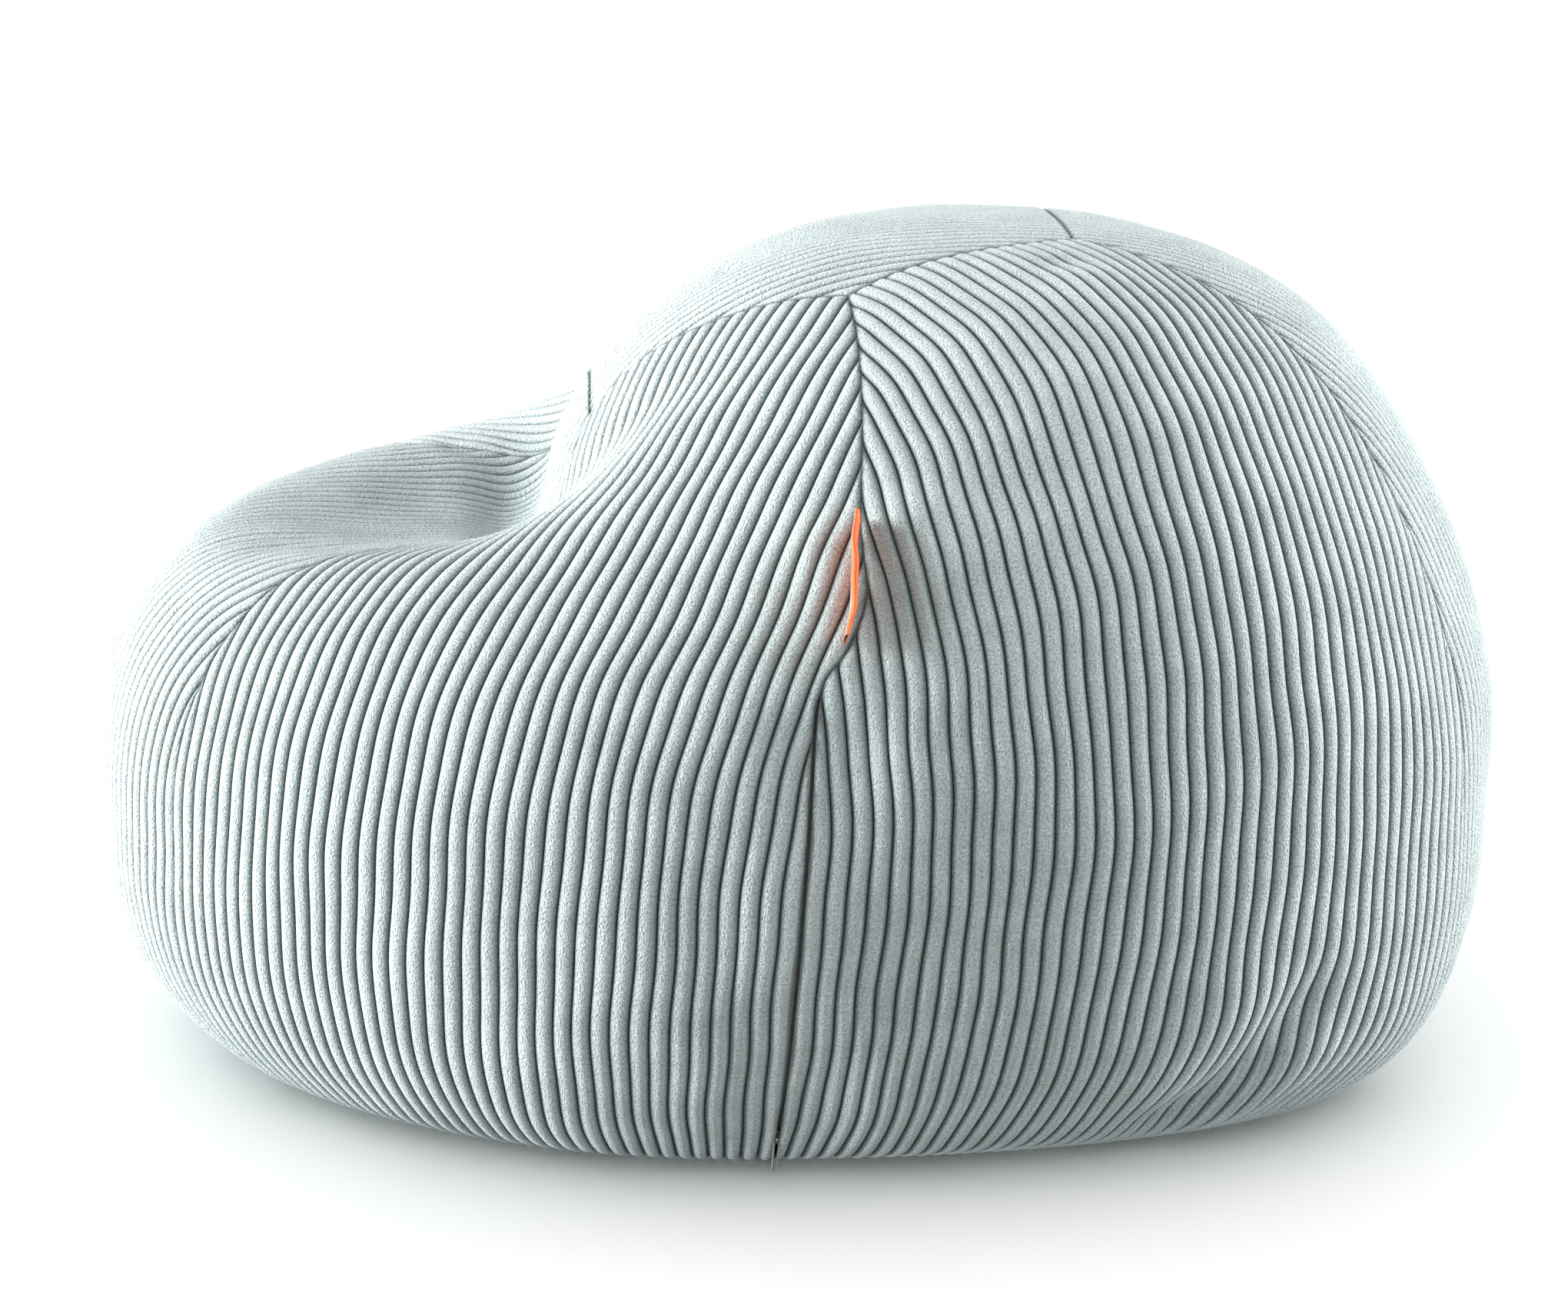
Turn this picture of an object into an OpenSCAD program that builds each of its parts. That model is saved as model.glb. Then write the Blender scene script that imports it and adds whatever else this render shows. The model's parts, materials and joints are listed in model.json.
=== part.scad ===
// Corduroy bean bag chair: a six-gore cover with a hexagonal top panel and a base panel,
// a concealed zip in the side seam, a zipped inner liner and a bead filling.
// Front is -Y, up is +Z, and the origin is on the floor under the middle of the bag.

/* [Body] */
// Half the width of the lower body
body_half_w = 452; // [430:1:470]
// Half the length of the lower body
body_half_l = 512; // [500:1:530]
// Height of the widest line of the lower body
body_mid_z = 190; // [185:1:200]
// Rise of the lower body above its widest line
body_rise = 264; // [258:1:272]
// Depth of the lower body below its widest line, before the floor flattens it
body_drop = 250; // [240:1:260]

/* [Back lobe] */
// Half the width of the lobe that the sitter leans on
back_half_w = 385; // [370:1:395]
// Half the length of the back lobe
back_half_l = 330; // [320:1:340]
// Half the height of the back lobe
back_half_h = 272; // [260:1:280]
// Distance of the back lobe's middle behind the origin
back_y = 146; // [130:1:160]
// Height of the back lobe's middle
back_z = 336; // [325:1:345]

/* [Seat] */
// Half the width of the seat hollow's ellipsoid
seat_half_w = 430; // [400:5:460]
// Half the length of the seat hollow's ellipsoid
seat_half_l = 430; // [400:5:460]
// Half the height of the seat hollow's ellipsoid
seat_half_h = 340; // [330:5:350]
// Height of the seat hollow's middle
seat_z = 723; // [715:1:740]

/* [Cover] */
// Thickness of the corduroy with its pile
cover_t = 4; // [2.5:0.5:4]
// Thickness of the liner cloth
liner_t = 1.2; // [0.8:0.1:1.4]
// Depth of the liner's outer face below the cover's outer face
liner_depth = 8; // [7.5:0.5:9]
// Half the side-to-side size of the top panel's hexagon
top_half_w = 188; // [170:1:200]
// Half the width of the base panel
base_half_w = 330; // [300:1:340]
// Half the length of the base panel
base_half_l = 375; // [340:1:385]

/* [Zip] */
// Width of one zip tape
tape_w = 13; // [10:0.5:14]
// Length of the pull, from its pin to the end of its loop
pull_len = 22; // [16:1:24]
// Diameter of the pull's wire
wire_d = 1.2; // [1:0.1:1.3]

/* [Label] */
// Length of the side label along the seam
label_len = 88; // [60:4:92]
// How far the folded label stands out of the seam
label_out = 22; // [18:1:30]

/* [Hidden] */

// The side seams lie in a plane that leans back: it meets the floor at seam_y.
lean = 4.5;
seam_y = -26;
gore_angle = 60;
side_az = 90;
// Above the zip the right seam steps back by an angle, between two elevations
seam_step = 3.5;
step_from = 13;
step_to = 26;
step_reach = 22;
// Middle of the star of directions that every surface point is found along
core_h = 230;
core = [0, seam_y + core_h * tan(lean), core_h];
near_core = 60;
far_core = 900;
plane_normal = [0, cos(lean), -sin(lean)];
plane_up = [0, sin(lean), cos(lean)];

// Roundness of the outlines: 2 is an ellipse, more is squarer
front_round = 2.05;
rear_round = 2.6;
body_round = 2.8;
back_round = 2.35;
back_plan_round = 2.1;
body_y = -2;
plan_blend = 250;
seat_mid = [40, -262, seat_z];
// Blending lengths where the forms meet
rim_blend = 45;
join_blend = 130;
crease_blend = 18;
floor_blend = 24;
crease_half_w = 190;
crease_fade = [20, 120];
// Bulges of the rear corners at the floor: place, reach and height
corner_bulges = [[300, 400, 60], [-300, 400, 60]];
bulge_reach = 150;
bulge_h = 14;

// Each zip runs on a circular arc in the seam plane, so that its slider can travel
arc_x = 185;
arc_z = 203;
arc_r = 272;
zip_from = -39;
zip_travel = 62;
zip_to = zip_from + zip_travel;
liner_zip_from = -20;
liner_zip_travel = 38;
stop_len = 0.6;
stop_gap = 0.1;
tape_end = 1.5;
liner_tape_end = 1;
arc_reach = 42;
// Heights along the seam plane where the arc takes over, and where it lets go
arc_low = [14, 34];
arc_high = [312, 350];

// Gaps
seam_gap = 0.35;
slit_gap = 2.7;
liner_slit_gap = 5.6;
panel_gap = 0.4;
top_gap = 0.8;
// Heights along the seam plane between which each slit opens and closes
slit_low = [-10, -2];
slit_high = [338, 352];
liner_slit_low = [70, 90];
liner_slit_high = [322, 345];

// Section of a zip: depths are measured inwards from the face of the cloth that it closes
coil_gap = 0.8;
coil_overlap = 0.4;
coil_lift = 0.2;
weld = 0.1;
coil_w = 2.6;
coil_h = 2.2;
tape_t = 0.6;
plate_t = 1;
run_gap = 0.4;
post_half_w = 0.4;
slider_half_w = coil_gap + coil_w + run_gap + 0.8;
slider_deg = 2;
zip_depth = cover_t + 1.5;
liner_zip_depth = liner_depth + 2.4;
pin_clearance = 0.05;
pull_depth = 2;
bail_half_w = 0.9;
leg_offset = 1.6;
// The pull hangs straight down in the seam plane
pull_hang = -zip_from;

// Depths of the soft layers below the cover's face
channel_depth = 8.5;
channel_half_w = 24;
channel_low = [6, 22];
channel_high = [330, 360];
crease_y = -205;
crease_z = 395;
crease_relief = 37;
crease_reach = 105;
bridging_half_w = 240;
filling_gap = 0.7;
filling_depth = liner_depth + liner_t + filling_gap;

// Grid of each gore, and of the closed forms
gore_cols = 12;
gore_rows = 26;
panel_rings = 6;
panel_cols = 6 * gore_cols;
// Where a gore's columns stop following the base panel, and start following the top panel
low_end = 0.25;
high_start = 0.6;
ring_angles = [14, 30, 46, 60, 70, 77, 82, 85.5, 88];
turn_angles = [
    for (side = [0, 180]) each [
        for (a = [-45, -36, -27, -18, -9, 0, 9, 18, 27, 36, 45]) side + a,
        for (a = [57, 68, 79, 90, 101, 112, 123]) side + a
    ]
];
fillet_fn = 24;

cord_colour = [0.74, 0.79, 0.77];
liner_colour = [0.93, 0.93, 0.91];

// ---- smooth forms ----

function sstep(a, b, x) = let (t = min(1, max(0, (x - a) / (b - a)))) t * t * (3 - 2 * t);
function mix(a, b, t) = a + (b - a) * t;
function unit(v) = v / norm(v);
function smooth_min(a, b, k) =
    let (h = min(1, max(0, 0.5 + 0.5 * (b - a) / k))) b * (1 - h) + a * h - k * h * (1 - h);
function smooth_max(a, b, k) = -smooth_min(-a, -b, k);

// Signed distance, near the surface, of a lobe with a rounded-square section
function lobe(p, mid, half_w, half_l, rise, drop, plan_n, side_n) =
    let (
        q = pow(pow(abs(p.x - mid.x) / half_w, plan_n) + pow(abs(p.y - mid.y) / half_l, plan_n), 1 / plan_n),
        h = p.z > mid.z ? rise : drop,
        v = abs(p.z - mid.z) / h,
        k = max(1e-6, pow(pow(q, side_n) + pow(v, side_n), 1 / side_n)),
        w = pow(q / k, side_n)
    ) (k - 1) * (w * (half_w + half_l) / 2 + (1 - w) * h);

function ellipsoid(p, mid, r) =
    let (
        q = [(p.x - mid.x) / r.x, (p.y - mid.y) / r.y, (p.z - mid.z) / r.z],
        k = norm(q)
    ) k * (k - 1) / norm([q.x / r.x, q.y / r.y, q.z / r.z]);

function bulges(p) =
    bulge_h * (exp(-pow(norm(p - corner_bulges[0]) / bulge_reach, 2))
             + exp(-pow(norm(p - corner_bulges[1]) / bulge_reach, 2)));

// Offset from the seam plane, and height along it
function off_plane(p) = (p - [0, seam_y, 0]) * plane_normal;
function along_plane(p) = (p - [0, seam_y, 0]) * plane_up;

// How far a point belongs to the stretch of side seam that the zips close
function zip_share(p) =
    let (w = along_plane(p))
        exp(-pow(off_plane(p) / arc_reach, 4)) * sstep(arc_low[0], arc_low[1], w)
            * (1 - sstep(arc_high[0], arc_high[1], w));

function plan_roundness(y) = mix(front_round, rear_round, sstep(-plan_blend, plan_blend, y));

// Signed distance of the whole bag's outer surface
function bag(p) =
    let (
        plan_n = plan_roundness(p.y),
        body = lobe(p, [0, body_y, body_mid_z], body_half_w, body_half_l, body_rise, body_drop,
            plan_n, body_round),
        seated = smooth_max(body, -ellipsoid(p, seat_mid, [seat_half_w, seat_half_l, seat_half_h]),
            rim_blend),
        in_crease = exp(-pow(p.x / crease_half_w, 4)) * sstep(crease_fade[0], crease_fade[1], -p.y),
        back = lobe(p, [0, back_y, back_z], back_half_w, back_half_l, back_half_h, back_half_h,
            back_plan_round, back_round),
        joined = smooth_min(seated, back, mix(join_blend, crease_blend, in_crease)) - bulges(p),
        arc = norm([abs(p.x) - arc_x, along_plane(p) - arc_z]) - arc_r
    ) smooth_max(mix(joined, arc, zip_share(p)), -p.z, floor_blend);

// Distance from a start point, along a direction, to the bag's surface
function reach(start, dir, near, far, steps = 15) =
    let (half = (near + far) / 2)
        steps == 0 ? half
        : bag(start + dir * half) < 0 ? reach(start, dir, half, far, steps - 1)
        : reach(start, dir, near, half, steps - 1);

// Point of the surface in one direction from the core
function surface_at(dir) = core + dir * reach(core, dir, near_core, far_core);

function normal_at(p, e = 1.5) =
    unit([
        bag(p + [e, 0, 0]) - bag(p - [e, 0, 0]),
        bag(p + [0, e, 0]) - bag(p - [0, e, 0]),
        bag(p + [0, 0, e]) - bag(p - [0, 0, e])
    ]);

// ---- directions ----

// Unit vector at an azimuth from the front and an elevation, in the leaning frame
function aim(az, el) =
    let (x = cos(el) * sin(az), y = -cos(el) * cos(az), z = sin(el))
        [x, y * cos(lean) + z * sin(lean), -y * sin(lean) + z * cos(lean)];
function azimuth(p) = let (v = p - core, y = v * plane_normal) atan2(v.x, -y);
function elevation(p) = let (v = p - core) asin(v * plane_up / norm(v));
// The same azimuth as a, within half a turn of near
function wrap(a, near) = a + 360 * round((near - a) / 360);

// ---- edges of the panels ----

top_mid_y = 36;
top_front = 209;
top_rear = 195;
top_mid = [0, top_mid_y];
function top_corner(k) =
    let (a = gore_angle * k - gore_angle / 2)
        [top_half_w * sin(a), top_mid_y - (cos(a) > 0 ? top_front : top_rear) * cos(a)];
top_from_z = 300;
top_search = 500;
function on_top(plan) =
    let (from = [plan.x, plan.y, top_from_z]) from + [0, 0, reach(from, [0, 0, 1], 0, top_search)];
// Point of the hexagon's edge above gore k, for s from -1 to 1 across the gore
function top_edge(k, s) = mix(top_corner(k), top_corner(k + 1), (s + 1) / 2);

function base_radius(a) =
    let (n = plan_roundness(-base_half_l * cos(a)))
        pow(pow(abs(sin(a)) / base_half_w, n) + pow(abs(cos(a)) / base_half_l, n), -1 / n);
function base_edge(a, grow = 0) =
    let (r = base_radius(a) + grow) [r * sin(a), seam_y - r * cos(a)];

// ---- gores ----

// How far the right seam, and the cloth near it, is turned back at an elevation
function seam_turn(az, el) =
    seam_step * sstep(step_from, step_to, el) * exp(-pow((az - side_az) / step_reach, 2));

// Outer point of gore k: s goes across it and t up it
function gore_point(k, s, t) =
    let (
        az = gore_angle * (k + s / 2),
        low = concat(base_edge(az, panel_gap), 0),
        high = on_top(top_edge(k, s)),
        el = mix(elevation(low), elevation(high), t),
        up = sstep(high_start, 1, t),
        turn = (wrap(azimuth(low), az) - az) * (1 - sstep(0, low_end, t))
            + (wrap(azimuth(high), az) - az) * up + seam_turn(az, el) * (1 - up)
    ) t == 0 ? low : t == 1 ? high : surface_at(aim(az + turn, el));

// Half the opening between two gores, which widens along the zip
function half_gap(p) =
    p.x < 0 ? seam_gap
    : let (w = along_plane(p)) mix(seam_gap, slit_gap,
        sstep(slit_low[0], slit_low[1], w) * (1 - sstep(slit_high[0], slit_high[1], w)));

// Pulls the edge of a gore back from its seam, towards the gore's middle
function trimmed(p, toward, gap) = p + unit(toward - p) * gap;

function gore_grid(k, depth) =
    [for (i = [0:gore_cols]) [for (j = [0:gore_rows])
        let (
            s = 2 * i / gore_cols - 1,
            t = j / gore_rows,
            raw = gore_point(k, s, t),
            inner_s = s * (1 - 2 / gore_cols),
            is_edge = i == 0 || i == gore_cols,
            p = is_edge ? trimmed(raw, gore_point(k, inner_s, t), half_gap(raw)) : raw,
            outward = j == 0 ? [0, 0, -1] : normal_at(p)
        ) p - outward * depth]];

// Faces of a slab between two grids, the outer one listed first
function slab_faces(cols, rows) =
    let (
        n = rows + 1,
        inner = (cols + 1) * n
    ) concat(
        [for (i = [0:cols - 1], j = [0:rows - 1]) let (a = i * n + j) each
            [[a, a + 1, a + n + 1], [a, a + n + 1, a + n]]],
        [for (i = [0:cols - 1], j = [0:rows - 1]) let (a = inner + i * n + j) each
            [[a, a + n + 1, a + 1], [a, a + n, a + n + 1]]],
        [for (j = [0:rows - 1]) each
            [[j, inner + j + 1, j + 1], [j, inner + j, inner + j + 1]]],
        [for (j = [0:rows - 1]) let (a = cols * n + j) each
            [[a, a + 1, inner + a + 1], [a, inner + a + 1, inner + a]]],
        [for (i = [0:cols - 1]) let (a = i * n) each
            [[a, a + n, inner + a + n], [a, inner + a + n, inner + a]]],
        [for (i = [0:cols - 1]) let (a = i * n + rows) each
            [[a, inner + a + n, a + n], [a, inner + a, inner + a + n]]]
    );

module gore(k) {
    outer = gore_grid(k, 0);
    inner = gore_grid(k, cover_t);
    color(cord_colour)
        polyhedron(points = [for (g = [outer, inner]) for (c = g) each c],
            faces = slab_faces(gore_cols, gore_rows));
}

// ---- closed caps: rings of points round a middle point ----

// Triangles of one cap whose first point is its middle; flip turns it inside out
function cap_faces(rings, cols, start, flip) =
    let (
        ring = function (r, c) start + 1 + (r - 1) * cols + c % cols,
        tris = concat(
            [for (c = [0:cols - 1]) [start, ring(1, c), ring(1, c + 1)]],
            [for (r = [1:rings - 1], c = [0:cols - 1]) each
                [[ring(r, c), ring(r + 1, c), ring(r + 1, c + 1)],
                 [ring(r, c), ring(r + 1, c + 1), ring(r, c + 1)]]]
        )
    ) flip ? [for (f = tris) [f[0], f[2], f[1]]] : tris;

// Triangles that join the last rings of two caps
function rim_faces(rings, cols, start_a, start_b, flip) =
    let (
        a0 = start_a + 1 + (rings - 1) * cols,
        b0 = start_b + 1 + (rings - 1) * cols,
        tris = [for (c = [0:cols - 1]) let (d = (c + 1) % cols) each
            [[a0 + c, b0 + c, b0 + d], [a0 + c, b0 + d, a0 + d]]]
    ) flip ? [for (f = tris) [f[0], f[2], f[1]]] : tris;

// A closed solid between two caps that share their numbers of rings and columns
module cap_solid(upper, lower, rings, cols, flip = false) {
    n = len(upper);
    polyhedron(points = concat(upper, lower),
        faces = concat(
            cap_faces(rings, cols, 0, !flip),
            cap_faces(rings, cols, n, flip),
            rim_faces(rings, cols, 0, n, !flip)));
}

function panel_cap(depth) =
    let (shrink = 1 - top_gap / top_half_w) [
        for (r = [0:panel_rings])
            for (c = [0:(r == 0 ? 0 : panel_cols - 1)])
                let (
                    side = floor(c * 6 / panel_cols),
                    s = (c * 6 / panel_cols - side) * 2 - 1,
                    p = on_top(mix(top_mid, top_edge(side, s), shrink * r / panel_rings))
                ) p - normal_at(p) * depth
    ];

module top_panel() {
    color(cord_colour)
        cap_solid(panel_cap(0), panel_cap(cover_t), panel_rings, panel_cols);
}

module base_panel() {
    color(cord_colour)
        linear_extrude(cover_t)
            polygon([for (a = [0:5:355]) base_edge(a)]);
}

// ---- liner and filling ----

// Extra depth that keeps the soft layers behind the zips; the liner dips on one side only
function channel(p, both_sides) =
    (p.x > 0 || both_sides)
        ? channel_depth * exp(-pow(off_plane(p) / channel_half_w, 2))
            * sstep(channel_low[0], channel_low[1], along_plane(p))
            * (1 - sstep(channel_high[0], channel_high[1], along_plane(p)))
        : 0;

// Extra depth where the back lobe meets the seat, because the soft layers bridge that fold
function bridging(p) =
    crease_relief * exp(-pow(norm([p.y - crease_y, p.z - crease_z]) / crease_reach, 2))
        * exp(-pow(p.x / bridging_half_w, 4));

// Direction at an angle from the pole of one half, turned round the plane's normal
function half_dir(sign, polar, turn) =
    plane_normal * sign * cos(polar)
    + ([1, 0, 0] * cos(turn) + plane_up * sin(turn)) * sin(polar);

// A point of a soft layer, set in from the bag's surface and above the base panel
function layer_point(dir, depth, both_sides, floor_z) =
    let (
        p = surface_at(dir),
        q = p - normal_at(p) * (depth + channel(p, both_sides) + bridging(p))
    ) [q.x, q.y, max(q.z, floor_z)];

function layer_cap(sign, depth, both_sides, floor_z, gap) =
    concat(
        [layer_point(half_dir(sign, 0, 0), depth, both_sides, floor_z)],
        [for (polar = concat(ring_angles, 90)) for (turn = turn_angles)
            let (p = layer_point(half_dir(sign, polar, turn), depth, both_sides, floor_z))
                polar == 90 ? p + plane_normal * sign * gap(p) : p]
    );

function liner_gap(p) =
    p.x > 0 ? seam_gap
    : let (w = along_plane(p)) mix(seam_gap, liner_slit_gap,
        sstep(liner_slit_low[0], liner_slit_low[1], w)
            * (1 - sstep(liner_slit_high[0], liner_slit_high[1], w)));

module liner_half(sign) {
    floor_z = cover_t + 1;
    gap = function (p) liner_gap(p);
    color(liner_colour)
        cap_solid(
            layer_cap(sign, liner_depth, false, floor_z, gap),
            layer_cap(sign, liner_depth + liner_t, false, floor_z + liner_t, gap),
            len(ring_angles) + 1, len(turn_angles), flip = sign > 0);
}

module bead_filling() {
    floor_z = cover_t + 1 + liner_t + filling_gap;
    flat = function (p) 0;
    rings = len(ring_angles) + 1;
    cols = len(turn_angles);
    rear = layer_cap(1, filling_depth, true, floor_z, flat);
    front = layer_cap(-1, filling_depth, true, floor_z, flat);
    front_open = [for (i = [0:len(front) - 1 - cols]) front[i]];
    n = len(rear);
    seam = n - cols;
    last = n + 1 + (rings - 2) * cols;
    color([0.97, 0.97, 0.97])
        polyhedron(points = concat(rear, front_open),
            faces = concat(
                cap_faces(rings, cols, 0, false),
                cap_faces(rings - 1, cols, n, true),
                [for (c = [0:cols - 1]) let (d = (c + 1) % cols) each
                    [[last + c, seam + d, seam + c], [last + c, last + d, seam + d]]]));
}

// ---- zips ----

// Puts its children in a zip's plane: x is outwards, y is up the arc, z is to the front
module zip_frame(side = 1) {
    mirror([side > 0 ? 0 : 1, 0, 0])
        translate([0, seam_y, 0])
            rotate([-lean, 0, 0])
                translate([arc_x, 0, arc_z])
                    rotate([90, 0, 0])
                        children();
}

// A strip that follows the arc, from one depth to another and one offset to another
module arc_strip(from, to, depth_a, depth_b, off_a, off_b) {
    rotate([0, 0, from])
        rotate_extrude(angle = to - from, $fn = 180)
            translate([arc_r - depth_b, off_a])
                square([depth_b - depth_a, off_b - off_a]);
}

// Depths of the parts of a zip whose slider starts at depth d
function tape_depth(d) = d + plate_t + run_gap;
function coil_depth(d) = tape_depth(d) + tape_t + coil_lift;
function lower_plate_depth(d) = coil_depth(d) + coil_h + run_gap;

// dir is 1 for the front tape and -1 for the rear one
module zip_tape(d, from, to, dir) {
    a = coil_gap + coil_overlap;
    b = a + tape_w;
    arc_strip(from, to, tape_depth(d), tape_depth(d) + tape_t, dir > 0 ? a : -b, dir > 0 ? b : -a);
}

module zip_coil(d, from, to, dir) {
    mid = dir * (coil_gap + coil_w / 2);
    rotate([0, 0, from])
        rotate_extrude(angle = to - from, $fn = 180)
            translate([arc_r - coil_depth(d) - coil_h / 2, mid])
                intersection() {
                    circle(d = coil_w, $fn = fillet_fn);
                    square([coil_h, coil_w], center = true);
                }
}

// Body of a slider: two plates, a post between the coils and a flange outside each coil
module slider_body(d, at) {
    half = slider_deg / 2;
    low = lower_plate_depth(d);
    arc_strip(at - half, at + half, d, d + plate_t, -slider_half_w, slider_half_w);
    arc_strip(at - half, at + half, low, low + plate_t, -slider_half_w, slider_half_w);
    arc_strip(at, at + half * 0.8, d, low + plate_t, -post_half_w, post_half_w);
    flange = coil_gap + coil_w + run_gap;
    for (dir = [-1, 1])
        arc_strip(at - half, at + half, coil_depth(d) - weld, low + plate_t,
            dir > 0 ? flange : -slider_half_w, dir > 0 ? slider_half_w : -flange);
}

module zip_slider() {
    bail_len = 3.4;
    color([0.45, 0.46, 0.47])
        zip_frame() {
            slider_body(zip_depth, zip_from);
            rotate([0, 0, zip_from])
                translate([arc_r - pull_depth, 0, 0])
                    difference() {
                        union() {
                            cylinder(d = bail_len, h = 2 * bail_half_w, center = true, $fn = fillet_fn);
                            translate([-(zip_depth - pull_depth) - 0.4, -bail_len / 2, -bail_half_w])
                                cube([zip_depth - pull_depth + 0.4, bail_len, 2 * bail_half_w]);
                        }
                        cylinder(d = wire_d + 2 * pin_clearance, h = 4 * bail_half_w, center = true,
                            $fn = fillet_fn);
                    }
        }
}

// A wire loop: a pin through the slider's bail, two legs and a round end
module wire_loop() {
    leg = pull_len - leg_offset;
    cylinder(d = wire_d, h = 2 * leg_offset, center = true, $fn = fillet_fn);
    for (dir = [-1, 1])
        translate([0, 0, dir * leg_offset]) {
            sphere(d = wire_d, $fn = fillet_fn);
            rotate([90, 0, 0])
                cylinder(d = wire_d, h = leg, $fn = fillet_fn);
        }
    translate([0, -leg, 0])
        rotate([0, 90, 0])
            rotate([0, 0, 180])
                rotate_extrude(angle = 180, $fn = 48)
                    translate([leg_offset, 0])
                        circle(d = wire_d, $fn = fillet_fn);
}

module zip_pull() {
    color([0.40, 0.41, 0.42])
        zip_frame()
            rotate([0, 0, zip_from])
                translate([arc_r - pull_depth, 0, 0])
                    rotate([0, 0, pull_hang])
                        wire_loop();
}

zip_low = zip_from - slider_deg;
zip_high = zip_to + slider_deg;

module zip_bottom_stop() {
    color([0.55, 0.56, 0.57])
        zip_frame()
            arc_strip(zip_low - stop_len, zip_low - stop_gap, coil_depth(zip_depth) - weld,
                coil_depth(zip_depth) + coil_h, -coil_gap - coil_w, coil_gap + coil_w);
}

module zip_top_stops() {
    color([0.55, 0.56, 0.57])
        zip_frame()
            for (dir = [-1, 1])
                arc_strip(zip_high + stop_gap, zip_high + stop_len, coil_depth(zip_depth) - weld,
                    coil_depth(zip_depth) + coil_h,
                    dir > 0 ? coil_gap : -coil_gap - coil_w, dir > 0 ? coil_gap + coil_w : -coil_gap);
}

module main_tape(dir) {
    color([0.70, 0.75, 0.73])
        zip_frame()
            zip_tape(zip_depth, zip_low - tape_end, zip_high + tape_end, dir);
}

module main_coil(dir) {
    color([0.72, 0.76, 0.74])
        zip_frame()
            zip_coil(zip_depth, zip_low, zip_high, dir);
}

liner_low = liner_zip_from - slider_deg;
liner_high = liner_zip_from + liner_zip_travel + slider_deg;

module liner_tape(dir) {
    color(liner_colour)
        zip_frame(-1)
            zip_tape(liner_zip_depth, liner_low - liner_tape_end, liner_high + liner_tape_end, dir);
}

module liner_zip_coils() {
    color([0.90, 0.90, 0.88])
        zip_frame(-1)
            for (dir = [-1, 1])
                zip_coil(liner_zip_depth, liner_low, liner_high, dir);
}

// The liner's slider has no pull, so that a child can't open it
module liner_zip_slider() {
    color([0.60, 0.61, 0.62])
        zip_frame(-1)
            slider_body(liner_zip_depth, liner_zip_from);
}

// ---- label ----

// Where along the right seam the label starts and ends, as shares of the gore's height
label_low_t = 0.548;
label_high_t = 0.682;
label_clear = 0.6;
label_thick = 0.9;
label_fold_d = 3.2;
label_a = gore_point(1, 1, label_low_t);
label_b = gore_point(1, 1, label_high_t);
label_seam = gore_point(1, 1, (label_low_t + label_high_t) / 2);
label_dir = unit(label_b - label_a);
seam_normal = normal_at(label_seam);
label_out_dir = unit(seam_normal - label_dir * (seam_normal * label_dir));
label_side_dir = cross(label_dir, label_out_dir);
label_mid = (label_a + label_b) / 2;
label_hinge = label_mid
    + label_out_dir * ((label_seam - label_mid) * label_out_dir + label_clear + label_fold_d / 2);

// Section of the folded ribbon, from its round sewn edge outwards
module label_section() {
    flat_len = label_out - label_fold_d;
    difference() {
        union() {
            circle(d = label_fold_d, $fn = 48);
            translate([0, -label_fold_d / 2])
                square([flat_len, label_fold_d]);
            translate([flat_len, 0])
                circle(d = label_fold_d, $fn = 48);
        }
        translate([0, label_thick - label_fold_d / 2])
            square([flat_len, label_fold_d - 2 * label_thick]);
        translate([flat_len, 0])
            circle(d = label_fold_d - 2 * label_thick, $fn = 48);
    }
}

module side_label() {
    color([0.93, 0.42, 0.10])
        translate(label_hinge)
            rotate([
                atan2(label_side_dir.z, label_dir.z),
                -asin(label_out_dir.z),
                atan2(label_out_dir.y, label_out_dir.x)
            ])
                translate([0, 0, -label_len / 2])
                    linear_extrude(label_len)
                        label_section();
}

gore(0);  // front_gore
gore(1);  // front_right_gore
gore(2);  // rear_right_gore
gore(3);  // rear_gore
gore(4);  // rear_left_gore
gore(5);  // front_left_gore
top_panel();
base_panel();
main_tape(1);  // zip_tape_front
main_tape(-1);  // zip_tape_rear
main_coil(1);  // zip_coil_front
main_coil(-1);  // zip_coil_rear
zip_bottom_stop();
zip_top_stops();
zip_slider();
zip_pull();
side_label();
liner_half(-1);  // liner_front
liner_half(1);  // liner_rear
liner_tape(1);  // liner_zip_tape_front
liner_tape(-1);  // liner_zip_tape_rear
liner_zip_coils();
liner_zip_slider();
bead_filling();
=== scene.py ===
"""Looks of the corduroy bean bag chair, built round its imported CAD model.

The bag's outer surface is worked out in millimetres, by the same forms as the CAD model, and
becomes metres when a mesh is made. Every corduroy panel is real ribbed geometry.
"""
import json
import math

import bpy
import numpy as np
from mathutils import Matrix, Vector, noise

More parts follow.
